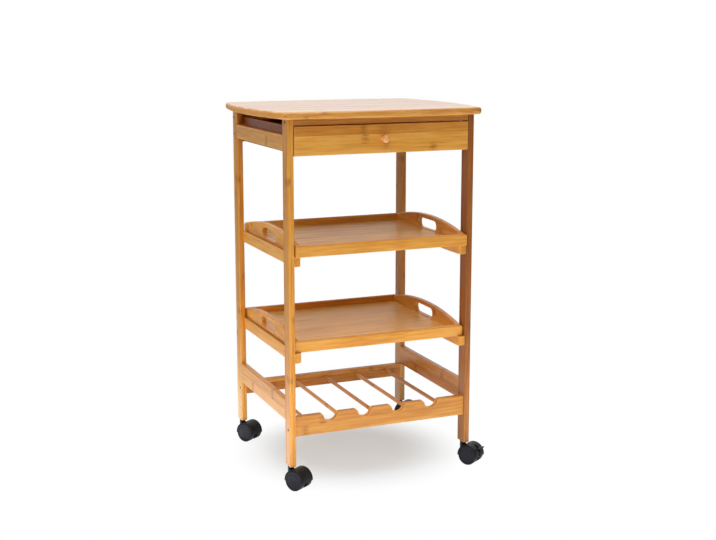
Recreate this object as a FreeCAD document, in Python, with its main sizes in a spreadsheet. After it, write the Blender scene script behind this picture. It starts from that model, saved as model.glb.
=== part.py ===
"""Bamboo serving cart: a drawer under a bowed top, two loose trays, a bottle rack and four twin-wheel castors.

The origin is on the floor under the middle of the cart, +Z is up, the drawer opens towards -Y, and +X is
to the right of a person who faces the drawer.
"""
import FreeCAD, Part
import math
import os
import re

import Sketcher
from FreeCAD import Placement, Rotation, Vector

doc = FreeCAD.newDocument("ServingCart")
dims = doc.addObject("Spreadsheet::Sheet", "dims")

# Driving dimensions, in millimetres unless the name says degrees
sizes = {
    # Frame, over the outer faces of its four legs
    "frame_width": 400.0,
    "frame_depth": 352.0,
    "cart_height": 750.0,
    "leg_thick": 13.0,
    "leg_deep": 30.0,
    "leg_ease": 2.5,
    "wood_ease": 1.5,
    # Tabletop, its corners beyond the legs and its four edges bowed out
    "top_thick": 14.0,
    "top_overhang_side": 12.0,
    "top_overhang_front": 12.0,
    "top_bow_side": 21.5,
    "top_bow_front": 14.0,
    "top_corner_radius": 16.0,
    "top_edge_radius": 5.0,
    # Rails between the legs
    "apron_thick": 12.0,
    "apron_high": 29.0,
    "apron_drop": 32.0,
    "head_rail_high": 13.0,
    "head_rail_deep": 22.0,
    "head_rail_setback": 3.0,
    "back_panel_thick": 12.0,
    "back_panel_high": 70.0,
    "back_panel_setback": 2.0,
    "foot_rail_high": 41.5,
    "foot_rail_bottom": 136.0,
    # Runners of the trays, partly under the trays and partly out between the legs
    "runner_in": 15.0,
    "runner_out": 3.0,
    "runner_high": 19.5,
    "runner_lip": 4.5,
    "runner_nose_radius": 8.0,
    "runner_setback": 3.0,
    "upper_runner_top": 469.0,
    "lower_runner_top": 276.0,
    # Bottle rack
    "rack_rail_thick": 13.0,
    "rack_front_high": 41.0,
    "rack_back_high": 29.0,
    "rack_bottom": 106.0,
    "rack_front_setback": 5.0,
    "rack_back_setback": 15.0,
    "bottle_count": 4.0,
    "bottle_pitch": 74.5,
    "notch_radius": 15.0,
    "notch_shoulder": 7.0,
    "notch_deep": 17.0,
    "dowel_radius": 4.0,
    "dowel_rise": 18.0,
    "dowel_seat": 7.0,
    "dowel_clear": 0.1,
    # Screws through the legs into the ends of the rails
    "screw_radius": 2.0,
    "screw_length": 36.0,
    "screw_head_radius": 3.2,
    "screw_head_high": 2.0,
    "screw_sink": 0.3,
    "screw_clear": 0.1,
    "rack_screw_rise": 14.0,
    # Drawer and the guides that carry it
    "drawer_gap": 1.2,
    "drawer_front_high": 57.0,
    "drawer_front_thick": 12.0,
    "drawer_front_setback": 0.5,
    "drawer_side_clear": 1.5,
    "drawer_side_thick": 10.0,
    "drawer_back_room": 25.5,
    "drawer_side_high": 52.0,
    "drawer_side_drop": 1.0,
    "drawer_back_thick": 10.0,
    "drawer_back_drop": 6.0,
    "drawer_panel_thick": 4.0,
    "drawer_panel_rise": 5.0,
    "drawer_groove_deep": 4.0,
    "guide_high": 10.0,
    "guide_bite": 4.5,
    "guide_clear": 0.3,
    "guide_end_gap": 6.0,
    "guide_groove_stop": 12.0,
    "panel_clear": 0.2,
    # Turned knob and its screw
    "knob_radius": 7.8,
    "knob_base_radius": 5.5,
    "knob_neck_radius": 4.2,
    "knob_base_high": 2.5,
    "knob_neck_high": 7.0,
    "knob_reach": 18.0,
    "knob_screw_bite": 11.0,
    "knob_screw_head_radius": 4.0,
    "knob_screw_head_high": 2.5,
    # Trays
    "tray_short": 20.0,
    "tray_gap": 1.0,
    "tray_wall_thick": 10.0,
    "tray_wall_high": 23.0,
    "tray_corner_radius": 6.0,
    "tray_rim_radius": 3.0,
    "tray_end_thick": 10.0,
    "tray_end_inset": 1.5,
    "tray_end_rise": 18.0,
    "tray_panel_thick": 5.0,
    "tray_panel_rise": 4.0,
    "tray_groove_deep": 4.0,
    "tray_hole_long": 90.0,
    "tray_hole_high": 22.0,
    "tray_hole_mid": 21.0,
    "upper_tray_out": 5.0,
    "lower_tray_out": -9.0,
    # Castors
    "castor_high": 46.0,
    "castor_yaw_degrees": -57.0,
    "castor_trail": 19.0,
    "wheel_radius": 20.0,
    "wheel_wide": 13.0,
    "wheel_gap": 0.5,
    "wheel_edge_radius": 1.6,
    "cap_radius": 14.8,
    "cap_groove_wide": 1.0,
    "cap_groove_deep": 0.8,
    "cap_crown": 0.6,
    "web_thick": 10.0,
    "hood_clear": 0.8,
    "hood_wall": 2.0,
    "hood_wide": 35.0,
    "hood_skirt": 2.0,
    "hood_ease": 1.2,
    "hub_radius": 6.5,
    "boss_radius": 6.5,
    "stem_radius": 3.0,
    "stem_in_leg": 35.0,
    "stem_in_hood": 20.0,
    "collar_radius": 6.5,
    "collar_high": 2.7,
    "collar_gap": 0.3,
    "axle_radius": 2.5,
    "axle_in_wheel": 9.0,
    "running_clear": 0.05,
    # Brake lever of the two right-hand castors
    "lever_thick": 5.0,
    "lever_clear": 0.3,
    "lever_pivot_out": 13.0,
    "lever_pivot_up": 9.0,
    "lever_eye_radius": 3.5,
    "pedal_in": 7.0,
    "pedal_out": 14.5,
    "pedal_up": 5.0,
    "pedal_lift": 1.5,
    "pedal_thick": 3.0,
    "pedal_wide": 18.0,
    "toe_out": 11.0,
    "toe_down": 9.0,
    "toe_thick": 3.5,
    "trunnion_radius": 1.5,
    "trunnion_short": 0.6,
    # How far a cut runs past a face
    "overrun": 1.0,
}

# Sizes and places that follow from the driving dimensions
derived = {
    "half_width": "frame_width / 2",
    "half_depth": "frame_depth / 2",
    "leg_top": "cart_height - top_thick",
    "leg_length": "leg_top - castor_high",
    "leg_mid_x": "half_width - leg_thick / 2",
    "leg_mid_y": "half_depth - leg_deep / 2",
    "bay_width": "frame_width - 2 * leg_thick",
    "bay_half": "bay_width / 2",
    "bay_depth": "frame_depth - 2 * leg_deep",
    "top_half_width": "half_width + top_overhang_side",
    "top_half_depth": "half_depth + top_overhang_front",
    "top_side_arc": "(top_half_depth ^ 2 + top_bow_side ^ 2) / (2 * top_bow_side)",
    "top_front_arc": "(top_half_width ^ 2 + top_bow_front ^ 2) / (2 * top_bow_front)",
    "apron_face": "half_width - apron_thick",
    "apron_bottom": "leg_top - apron_drop - apron_high",
    "apron_mid_z": "apron_bottom + apron_high / 2",
    "head_rail_bottom": "leg_top - head_rail_high",
    "head_rail_mid_y": "head_rail_setback + head_rail_deep / 2 - half_depth",
    "head_rail_mid_z": "leg_top - head_rail_high / 2",
    "back_panel_bottom": "leg_top - back_panel_high",
    "back_panel_front": "half_depth - back_panel_setback - back_panel_thick",
    "back_panel_mid_y": "back_panel_front + back_panel_thick / 2",
    "back_panel_low_z": "back_panel_bottom + back_panel_high / 4",
    "back_panel_high_z": "leg_top - back_panel_high / 4",
    "rack_front_face": "rack_front_setback - half_depth",
    "rack_front_mid_y": "rack_front_face + rack_rail_thick / 2",
    "rack_back_face": "half_depth - rack_back_setback - rack_rail_thick",
    "rack_back_mid_y": "rack_back_face + rack_rail_thick / 2",
    "rack_screw_z": "rack_bottom + rack_screw_rise",
    "dowel_z": "rack_bottom + dowel_rise",
    "screw_hole": "screw_radius + screw_clear",
    "screw_recess": "screw_head_radius + screw_clear",
    "screw_recess_deep": "screw_sink + screw_head_high",
    "screw_in_rail": "screw_recess_deep + screw_length - leg_thick + overrun",
    "drawer_top": "head_rail_bottom - drawer_gap",
    "drawer_bottom": "drawer_top - drawer_front_high",
    "drawer_face": "drawer_front_setback - half_depth",
    "drawer_front_back": "drawer_face + drawer_front_thick",
    "drawer_end": "back_panel_front - drawer_back_room",
    "drawer_side_length": "drawer_end - drawer_front_back",
    "drawer_front_width": "bay_width - 2 * drawer_gap",
    "drawer_half": "bay_half - drawer_side_clear",
    "drawer_inner_half": "drawer_half - drawer_side_thick",
    "drawer_side_top": "drawer_top - drawer_side_drop",
    "drawer_side_bottom": "drawer_side_top - drawer_side_high",
    "drawer_panel_bottom": "drawer_side_bottom + drawer_panel_rise",
    "drawer_panel_top": "drawer_panel_bottom + drawer_panel_thick",
    "drawer_panel_half": "drawer_inner_half + drawer_groove_deep - panel_clear",
    "drawer_panel_tongue": "drawer_groove_deep - panel_clear",
    "drawer_back_bottom": "drawer_panel_top + panel_clear",
    "drawer_back_high": "drawer_side_top - drawer_back_drop - drawer_back_bottom",
    "drawer_mid_z": "drawer_bottom + drawer_front_high / 2",
    "drawer_slot_high": "drawer_panel_thick + 2 * panel_clear",
    "guide_face": "drawer_half - guide_bite",
    "guide_bottom": "apron_mid_z - guide_high / 2",
    "guide_length": "bay_depth - 2 * guide_end_gap",
    "guide_slot_deep": "guide_bite + guide_clear",
    "guide_slot_high": "guide_high + 2 * guide_clear",
    "runner_wide": "runner_in + runner_out",
    "runner_notch": "leg_deep - runner_setback + overrun",
    "tray_depth": "frame_depth - tray_short",
    "tray_half": "bay_half - tray_gap",
    "tray_end_face": "tray_half - tray_end_inset - tray_end_thick",
    "tray_end_long": "tray_depth - 2 * tray_wall_thick",
    "tray_end_arc": "(tray_end_long ^ 2 / 4 + tray_end_rise ^ 2) / (2 * tray_end_rise)",
    "tray_hole_radius": "tray_hole_high / 2",
    "tray_hole_straight": "tray_hole_long - tray_hole_high",
    "tray_slot_high": "tray_panel_thick + 2 * panel_clear",
    "tray_tongue": "tray_groove_deep - panel_clear",
    "upper_tray_front": "0 - half_depth - upper_tray_out",
    "lower_tray_front": "0 - half_depth - lower_tray_out",
    "wheel_inner": "web_thick / 2 + wheel_gap",
    "wheel_well": "wheel_radius + hood_clear",
    "hood_radius": "wheel_well + hood_wall",
    "boss_top": "castor_high - collar_high - collar_gap",
    "axle_long": "2 * (wheel_inner + axle_in_wheel)",
    "lever_slot": "lever_thick + 2 * lever_clear",
    "lever_pivot_x": "castor_trail + lever_pivot_out",
    "lever_pivot_z": "wheel_radius + lever_pivot_up",
    "trunnion_long": "web_thick - 2 * trunnion_short",
}

for row, (name, content) in enumerate([*sizes.items(), *derived.items()], start=1):
    dims.set(f"A{row}", name)
    dims.set(f"B{row}", str(content) if name in sizes else "=" + content)
    dims.setAlias(f"B{row}", name)
doc.recompute()

X_AXIS = Vector(1, 0, 0)
Y_AXIS = Vector(0, 1, 0)
Z_AXIS = Vector(0, 0, 1)
ADDING = "PartDesign::AdditiveCylinder"
CUTTING = "PartDesign::SubtractiveCylinder"
nodes = []


def size(name):
    """The value that the sheet holds under a name."""
    return float(dims.get(name))


def bind(thing, prop, formula):
    """Ties a property to a formula in the names of the sheet."""
    thing.setExpression(prop, re.sub(r"[a-z]\w*", lambda word: "dims." + word.group(), formula))


def place(thing, at):
    """Ties the three coordinates of a placement to formulas."""
    for letter, formula in zip("xyz", at):
        bind(thing, f"Placement.Base.{letter}", formula)


def new_body(label):
    """An empty body, to be written out as the node of that name."""
    body = doc.addObject("PartDesign::Body", label)
    body.Label = label
    nodes.append(body)
    return body


def new_sketch(body, role, name):
    """A sketch on one of a body's own origin planes."""
    plane = next(feature for feature in body.Origin.OriginFeatures if feature.Role == role)
    sketch = body.newObject("Sketcher::SketchObject", name)
    sketch.AttachmentSupport = (plane, [""])
    sketch.MapMode = "FlatFace"
    return sketch


def drive(sketch, kind, places, formula, drawn=1.0):
    """Adds a dimension to a sketch, at the value it was drawn with, and ties it to a formula."""
    number = sketch.addConstraint(Sketcher.Constraint(kind, *places, drawn))
    bind(sketch, f"Constraints[{number}]", formula)


def closed_outline(sketch, curves):
    """Draws curves that follow each other round a closed outline, and joins the ends that meet."""
    drawn = [sketch.addGeometry(curve, False) for curve in curves]
    ends = [(1, 1), (1, 2), (2, 1), (2, 2)]
    for one, other in zip(drawn, drawn[1:] + drawn[:1]):
        apart = [sketch.getPoint(one, a).distanceToPoint(sketch.getPoint(other, b)) for a, b in ends]
        a, b = ends[apart.index(min(apart))]
        sketch.addConstraint(Sketcher.Constraint("Coincident", one, a, other, b))


def lines_through(points):
    """The straight sides of a closed polygon, given by its corners."""
    corners = [Vector(x, y, 0) for x, y in points]
    return [Part.LineSegment(a, b) for a, b in zip(corners, corners[1:] + corners[:1])]


def crown_height(radius, rise, out):
    """How high a spherical crown of a radius and a rise stands at a distance from its axis."""
    sphere = (radius**2 + rise**2) / (2 * rise)
    return math.sqrt(sphere**2 - out**2) - sphere + rise


def pad(body, sketch, name, length, symmetric=False):
    """Pads a sketch to a length, to one side or to both."""
    feature = body.newObject("PartDesign::Pad", name)
    feature.Profile = sketch
    feature.SideType = "Symmetric" if symmetric else "One side"
    bind(feature, "Length", length)
    doc.recompute()
    return feature


def fillet(body, base, edges, name, radius):
    """Rounds the edges of a feature that a test picks out."""
    feature = body.newObject("PartDesign::Fillet", name)
    picked = [f"Edge{number}" for number, edge in enumerate(base.Shape.Edges, start=1) if edges(edge)]
    feature.Base = (base, picked)
    bind(feature, "Radius", radius)
    doc.recompute()
    return feature


def runs_along(axis):
    """A test for straight edges that run along an axis."""

    def test(edge):
        if not isinstance(edge.Curve, (Part.Line, Part.LineSegment)):
            return False
        return edge.tangentAt(edge.FirstParameter).cross(axis).Length < 1e-6

    return test


def sawn_blank(body, wide, deep, high):
    """A square-edged piece of wood with its low corner on the body's origin."""
    plan = new_sketch(body, "XY_Plane", "Plan")
    closed_outline(plan, lines_through([(0, 0), (1, 0), (1, 1), (0, 1)]))
    plan.addConstraint(Sketcher.Constraint("Coincident", 0, 1, -1, 1))
    for number, direction in enumerate(("Horizontal", "Vertical", "Horizontal", "Vertical")):
        plan.addConstraint(Sketcher.Constraint(direction, number))
    drive(plan, "DistanceX", (0, 1, 0, 2), wide)
    drive(plan, "DistanceY", (1, 1, 1, 2), deep)
    return pad(body, plan, "Blank", high)


def board(label, wide, deep, high, at, grain, ease="wood_ease"):
    """A planed board with its low corner at a place and the four edges along its grain eased."""
    body = new_body(label)
    blank = sawn_blank(body, wide, deep, high)
    fillet(body, blank, runs_along(grain), "Ease", ease)
    place(body, at)
    return body


def block(body, name, wide, deep, high, at):
    """Cuts a square groove or slot, with its low corner at a place in the body."""
    feature = body.newObject("PartDesign::SubtractiveBox", name)
    bind(feature, "Length", wide)
    bind(feature, "Width", deep)
    bind(feature, "Height", high)
    place(feature, at)
    return feature


def round_bar(body, name, radius, long, at, towards, kind=CUTTING):
    """Cuts or adds a round bar that runs from a place in one direction."""
    feature = body.newObject(kind, name)
    feature.Placement = Placement(Vector(), Rotation(Z_AXIS, towards))
    bind(feature, "Radius", radius)
    bind(feature, "Height", long)
    place(feature, at)
    return feature


def group(label, pieces):
    """One node that holds a set of like pieces as separate solids."""
    compound = doc.addObject("Part::Compound", label)
    compound.Label = label
    compound.Links = pieces
    nodes.append(compound)
    return compound


# Tabletop: a glued panel whose four edges bow out, with rounded corners and rims
top = new_body("tabletop")
plan = new_sketch(top, "XY_Plane", "Plan")
corner_x = size("top_half_width")
corner_y = size("top_half_depth")
front_y = corner_y + size("top_bow_front")
side_x = corner_x + size("top_bow_side")
top_corners = [Vector(-corner_x, -corner_y), Vector(corner_x, -corner_y)]
top_corners += [Vector(corner_x, corner_y), Vector(-corner_x, corner_y)]
top_crowns = [Vector(0, -front_y), Vector(side_x, 0), Vector(0, front_y), Vector(-side_x, 0)]
closed_outline(
    plan,
    [Part.Arc(top_corners[n], top_crowns[n], top_corners[(n + 1) % 4]) for n in range(4)],
)
for number, (way_x, way_y) in enumerate(((-1, -1), (1, -1), (1, 1), (-1, 1))):
    drive(plan, "DistanceX", (-1, 1, number, 1), f"{way_x} * top_half_width", way_x * corner_x)
    drive(plan, "DistanceY", (-1, 1, number, 1), f"{way_y} * top_half_depth", way_y * corner_y)
    bow = "top_side_arc" if number % 2 else "top_front_arc"
    drive(plan, "Radius", (number,), bow, size(bow))
slab = pad(top, plan, "Slab", "top_thick")
slab = fillet(top, slab, runs_along(Z_AXIS), "Corners", "top_corner_radius")
fillet(top, slab, lambda edge: not runs_along(Z_AXIS)(edge), "Rims", "top_edge_radius")
place(top, ("0", "0", "leg_top"))

# Four legs: flat boards, bored for the castor's stem below and for the screws into each rail's end
rail_screws = {
    "front": (("head_rail_mid_y", "head_rail_mid_z"), ("rack_front_mid_y", "rack_screw_z")),
    "back": (
        ("back_panel_mid_y", "back_panel_low_z"),
        ("back_panel_mid_y", "back_panel_high_z"),
        ("rack_back_mid_y", "rack_screw_z"),
    ),
}
screws = []
leg_sides = {"left": ("-1", "0 - half_width"), "right": ("1", "half_width - leg_thick")}
leg_ends = {"front": ("-1", "0 - half_depth"), "back": ("1", "half_depth - leg_deep")}
for end, (way_y, leg_y) in leg_ends.items():
    for side, (way_x, leg_x) in leg_sides.items():
        leg = board(
            f"leg_{end}_{side}",
            "leg_thick",
            "leg_deep",
            "leg_length",
            (leg_x, leg_y, "castor_high"),
            Z_AXIS,
            "leg_ease",
        )
        stem_at = ("leg_thick / 2", "leg_deep / 2", "0 - overrun")
        round_bar(
            leg, "StemBore", "stem_radius + running_clear", "stem_in_leg + 2 * overrun", stem_at, Z_AXIS
        )
        inward = X_AXIS if side == "left" else -X_AXIS
        face_x = "0" if side == "left" else "leg_thick"
        outer_x = "0 - half_width" if side == "left" else "half_width"
        for screw_y, screw_z in rail_screws[end]:
            hole_at = (face_x, f"{screw_y} - ({leg_y})", f"{screw_z} - castor_high")
            round_bar(leg, "ScrewBore", "screw_hole", "leg_thick", hole_at, inward)
            round_bar(leg, "ScrewRecess", "screw_recess", "screw_recess_deep", hole_at, inward)
            screw = doc.addObject("PartDesign::Body", "screw")
            head_x = f"{outer_x} - {way_x} * screw_sink"
            head_at = (head_x, screw_y, screw_z)
            round_bar(screw, "Head", "screw_head_radius", "screw_head_high", head_at, inward, ADDING)
            shank = "screw_head_high + screw_length"
            round_bar(screw, "Shank", "screw_radius", shank, head_at, inward, ADDING)
            screws.append(screw)
group("frame_screws", screws)


def pilot_holes(rail, middle_y, middle_z):
    """Bores both ends of a rail for the screws that come through the legs."""
    for end_x, inward in (("0", X_AXIS), ("bay_width", -X_AXIS)):
        round_bar(rail, "Pilot", "screw_hole", "screw_in_rail", (end_x, middle_y, middle_z), inward)


# Side aprons and foot rails, butted between the legs of each side frame
for side in ("left", "right"):
    apron_x = "0 - half_width" if side == "left" else "apron_face"
    apron_at = (apron_x, "0 - bay_depth / 2", "apron_bottom")
    board(f"apron_{side}", "apron_thick", "bay_depth", "apron_high", apron_at, Y_AXIS)
    foot_at = (leg_sides[side][1], "0 - bay_depth / 2", "foot_rail_bottom")
    board(f"foot_rail_{side}", "leg_thick", "bay_depth", "foot_rail_high", foot_at, Y_AXIS)

# Head rail over the drawer and panel behind it
head_at = ("0 - bay_half", "head_rail_setback - half_depth", "head_rail_bottom")
head_rail = board("head_rail", "bay_width", "head_rail_deep", "head_rail_high", head_at, X_AXIS)
pilot_holes(head_rail, "head_rail_deep / 2", "head_rail_high / 2")
panel_at = ("0 - bay_half", "back_panel_front", "back_panel_bottom")
back_panel = board("back_panel", "bay_width", "back_panel_thick", "back_panel_high", panel_at, X_AXIS)
pilot_holes(back_panel, "back_panel_thick / 2", "back_panel_high / 4")
pilot_holes(back_panel, "back_panel_thick / 2", "back_panel_high * 3 / 4")

# Battens on the aprons that carry the drawer in the grooves of its sides
for side in ("left", "right"):
    guide_x = "0 - apron_face" if side == "left" else "guide_face"
    guide_at = (guide_x, "0 - guide_length / 2", "guide_bottom")
    board(f"drawer_guide_{side}", "apron_face - guide_face", "guide_length", "guide_high", guide_at, Y_AXIS)

# Runners with a rabbet in which the trays rest, notched at both ends to fit between the legs
for level in ("upper", "lower"):
    for side in ("left", "right"):
        left = side == "left"
        runner = new_body(f"tray_runner_{level}_{side}")
        runner_long = "frame_depth - 2 * runner_setback"
        blank = sawn_blank(runner, "runner_wide", runner_long, "runner_high + runner_lip")
        upright = runs_along(Z_AXIS)
        nose_x = size("runner_wide") if left else 0
        noses = fillet(
            runner,
            blank,
            lambda edge: upright(edge) and abs(edge.CenterOfMass.x - nose_x) < 1e-6,
            "Noses",
            "runner_nose_radius",
        )
        fillet(runner, noses, runs_along(Y_AXIS), "Ease", "wood_ease")
        rabbet_at = ("runner_out" if left else "0 - overrun", "0 - overrun", "runner_high")
        rabbet_long = f"{runner_long} + 2 * overrun"
        block(runner, "Rabbet", "runner_in + overrun", rabbet_long, "runner_lip + overrun", rabbet_at)
        notch_x = "0 - overrun" if left else "runner_in"
        notch_high = "runner_high + runner_lip + 2 * overrun"
        for notch_y in ("0 - overrun", "frame_depth - runner_setback - leg_deep"):
            notch_at = (notch_x, notch_y, "0 - overrun")
            block(runner, "LegNotch", "runner_out + overrun", "runner_notch", notch_high, notch_at)
        runner_x = "0 - bay_half - runner_out" if left else "bay_half - runner_in"
        place(runner, (runner_x, "runner_setback - half_depth", f"{level}_runner_top - runner_high"))

# Bottle rack: a notched front rail, a plain back rail and the dowels that the bottles lie on
bottle_count = int(size("bottle_count"))
dowel_first = "bay_half - bottle_pitch * bottle_count / 2"


def dowel_bores(rail, face_y, inward):
    """Bores one face of a rack rail for the ends of the dowels."""
    for number in range(bottle_count + 1):
        bore_at = (f"{dowel_first} + {number} * bottle_pitch", face_y, "dowel_rise")
        round_bar(rail, "DowelBore", "dowel_radius + dowel_clear", "dowel_seat", bore_at, inward)


rack_at = ("0 - bay_half", "rack_front_face", "rack_bottom")
rack_front = board("rack_front_rail", "bay_width", "rack_rail_thick", "rack_front_high", rack_at, X_AXIS)
notch = new_sketch(rack_front, "XZ_Plane", "Notch")
bind(notch, "AttachmentOffset.Base.x", f"{dowel_first} + bottle_pitch / 2")
bind(notch, "AttachmentOffset.Base.y", "rack_front_high")
neck = size("notch_radius")
shoulder = size("notch_shoulder")
neck_z = neck - size("notch_deep")
shoulder_x = math.sqrt((neck + shoulder) ** 2 - (neck_z + shoulder) ** 2)
neck_share = neck / (neck + shoulder)
meet_x = shoulder_x * neck_share
meet_z = neck_z - (neck_z + shoulder) * neck_share
brow = (math.atan2(meet_z + shoulder, meet_x - shoulder_x) + math.pi / 2) / 2
brow_x = shoulder_x + shoulder * math.cos(brow)
brow_z = shoulder * math.sin(brow) - shoulder
over = size("overrun")
closed_outline(
    notch,
    [
        Part.Arc(Vector(-meet_x, meet_z), Vector(0, neck_z - neck), Vector(meet_x, meet_z)),
        Part.Arc(Vector(meet_x, meet_z), Vector(brow_x, brow_z), Vector(shoulder_x, 0)),
        Part.LineSegment(Vector(shoulder_x, 0), Vector(shoulder_x, over)),
        Part.LineSegment(Vector(shoulder_x, over), Vector(-shoulder_x, over)),
        Part.LineSegment(Vector(-shoulder_x, over), Vector(-shoulder_x, 0)),
        Part.Arc(Vector(-shoulder_x, 0), Vector(-brow_x, brow_z), Vector(-meet_x, meet_z)),
    ],
)
rest = rack_front.newObject("PartDesign::Pocket", "BottleRest")
rest.Profile = notch
rest.Type = "ThroughAll"
rest.SideType = "Symmetric"
doc.recompute()
rests = rack_front.newObject("PartDesign::LinearPattern", "BottleRests")
rests.Originals = [rest]
rests.Direction = (notch, ["H_Axis"])
bind(rests, "Length", "bottle_pitch * (bottle_count - 1)")
rests.Occurrences = bottle_count
rack_front.Tip = rests
doc.recompute()
dowel_bores(rack_front, "rack_rail_thick", -Y_AXIS)
pilot_holes(rack_front, "rack_rail_thick / 2", "rack_screw_rise")

rack_at = ("0 - bay_half", "rack_back_face", "rack_bottom")
rack_back = board("rack_back_rail", "bay_width", "rack_rail_thick", "rack_back_high", rack_at, X_AXIS)
dowel_bores(rack_back, "0", Y_AXIS)
pilot_holes(rack_back, "rack_rail_thick / 2", "rack_screw_rise")

dowels = []
for number in range(bottle_count + 1):
    dowel = doc.addObject("Part::Cylinder", "dowel")
    dowel.Placement = Placement(Vector(), Rotation(Z_AXIS, Y_AXIS))
    bind(dowel, "Radius", "dowel_radius")
    span = "rack_back_face - rack_front_face - rack_rail_thick"
    bind(dowel, "Height", f"{span} + 2 * (dowel_seat - panel_clear)")
    dowel_x = f"{dowel_first} - bay_half + {number} * bottle_pitch"
    dowel_y = "rack_front_face + rack_rail_thick - dowel_seat + panel_clear"
    place(dowel, (dowel_x, dowel_y, "dowel_z"))
    dowels.append(dowel)
group("rack_dowels", dowels)

# Drawer box: front, two grooved sides, back, and a bottom panel held in grooves
front_at = ("0 - drawer_front_width / 2", "drawer_face", "drawer_bottom")
drawer_front = board(
    "drawer_front", "drawer_front_width", "drawer_front_thick", "drawer_front_high", front_at, X_AXIS
)
block(
    drawer_front,
    "PanelGroove",
    "2 * drawer_panel_half + 2 * panel_clear",
    "drawer_groove_deep + overrun",
    "drawer_slot_high",
    (
        "drawer_front_width / 2 - drawer_panel_half - panel_clear",
        "drawer_front_thick - drawer_groove_deep",
        "drawer_panel_bottom - drawer_bottom - panel_clear",
    ),
)
knob_hole = ("drawer_front_width / 2", "0 - overrun", "drawer_front_high / 2")
round_bar(drawer_front, "KnobHole", "screw_hole", "drawer_front_thick + 2 * overrun", knob_hole, Y_AXIS)
for side in ("left", "right"):
    left = side == "left"
    side_x = "0 - drawer_half" if left else "drawer_inner_half"
    wall = board(
        f"drawer_side_{side}",
        "drawer_side_thick",
        "drawer_side_length",
        "drawer_side_high",
        (side_x, "drawer_front_back", "drawer_side_bottom"),
        Y_AXIS,
    )
    guide_slot_x = "0 - overrun" if left else "drawer_side_thick - guide_slot_deep"
    guide_slot_z = "guide_bottom - drawer_side_bottom - guide_clear"
    block(
        wall,
        "GuideGroove",
        "guide_slot_deep + overrun",
        "drawer_side_length - guide_groove_stop + overrun",
        "guide_slot_high",
        (guide_slot_x, "guide_groove_stop", guide_slot_z),
    )
    panel_slot_x = "drawer_side_thick - drawer_groove_deep" if left else "0 - overrun"
    block(
        wall,
        "PanelGroove",
        "drawer_groove_deep + overrun",
        "drawer_side_length + 2 * overrun",
        "drawer_slot_high",
        (panel_slot_x, "0 - overrun", "drawer_panel_rise - panel_clear"),
    )
board(
    "drawer_back",
    "2 * drawer_inner_half",
    "drawer_back_thick",
    "drawer_back_high",
    ("0 - drawer_inner_half", "drawer_end - drawer_back_thick", "drawer_back_bottom"),
    X_AXIS,
)
board(
    "drawer_bottom",
    "2 * drawer_panel_half",
    "drawer_side_length + drawer_panel_tongue",
    "drawer_panel_thick",
    ("0 - drawer_panel_half", "drawer_front_back - drawer_panel_tongue", "drawer_panel_bottom"),
    X_AXIS,
    "panel_clear",
)

# Knob turned from one piece, with a screw from inside the drawer
knob = new_body("drawer_knob")
profile = new_sketch(knob, "XZ_Plane", "Profile")
base = size("knob_base_radius")
waist = size("knob_neck_radius")
rim = size("knob_radius")
base_top = size("knob_base_high")
waist_top = size("knob_neck_high")
reach = size("knob_reach")
crown_share = 0.5
rim_level = waist_top + (reach - waist_top) * crown_share / 2
crown_level = waist_top + (reach - waist_top) * crown_share
crown_radius_share = 0.95
crown_radius = rim * crown_radius_share
crown_rise = reach - crown_level
crown_middle = crown_level + crown_height(crown_radius, crown_rise, crown_radius / 2)
bore = size("screw_hole")
bore_end = size("knob_screw_bite") + over
closed_outline(
    profile,
    [
        Part.LineSegment(Vector(bore, 0), Vector(base, 0)),
        Part.LineSegment(Vector(base, 0), Vector(base, base_top / 2)),
        Part.LineSegment(Vector(base, base_top / 2), Vector(waist, base_top)),
        Part.LineSegment(Vector(waist, base_top), Vector(waist, waist_top)),
        Part.Arc(Vector(waist, waist_top), Vector(rim, rim_level), Vector(crown_radius, crown_level)),
        Part.Arc(
            Vector(crown_radius, crown_level), Vector(crown_radius / 2, crown_middle), Vector(0, reach)
        ),
        Part.LineSegment(Vector(0, reach), Vector(0, bore_end)),
        Part.LineSegment(Vector(0, bore_end), Vector(bore, bore_end)),
        Part.LineSegment(Vector(bore, bore_end), Vector(bore, 0)),
    ],
)
turned = knob.newObject("PartDesign::Revolution", "Turned")
turned.Profile = profile
turned.ReferenceAxis = (profile, ["V_Axis"])
knob.Placement = Placement(Vector(), Rotation(Z_AXIS, -Y_AXIS))
place(knob, ("0", "drawer_face", "drawer_mid_z"))

knob_screw = new_body("knob_screw")
screw_at = ("0", "drawer_front_back + knob_screw_head_high", "drawer_mid_z")
knob_shank = "knob_screw_head_high + drawer_front_thick + knob_screw_bite"
round_bar(knob_screw, "Shank", "screw_radius", knob_shank, screw_at, -Y_AXIS, ADDING)
round_bar(
    knob_screw, "Head", "knob_screw_head_radius", "knob_screw_head_high", screw_at, -Y_AXIS, ADDING
)

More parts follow.
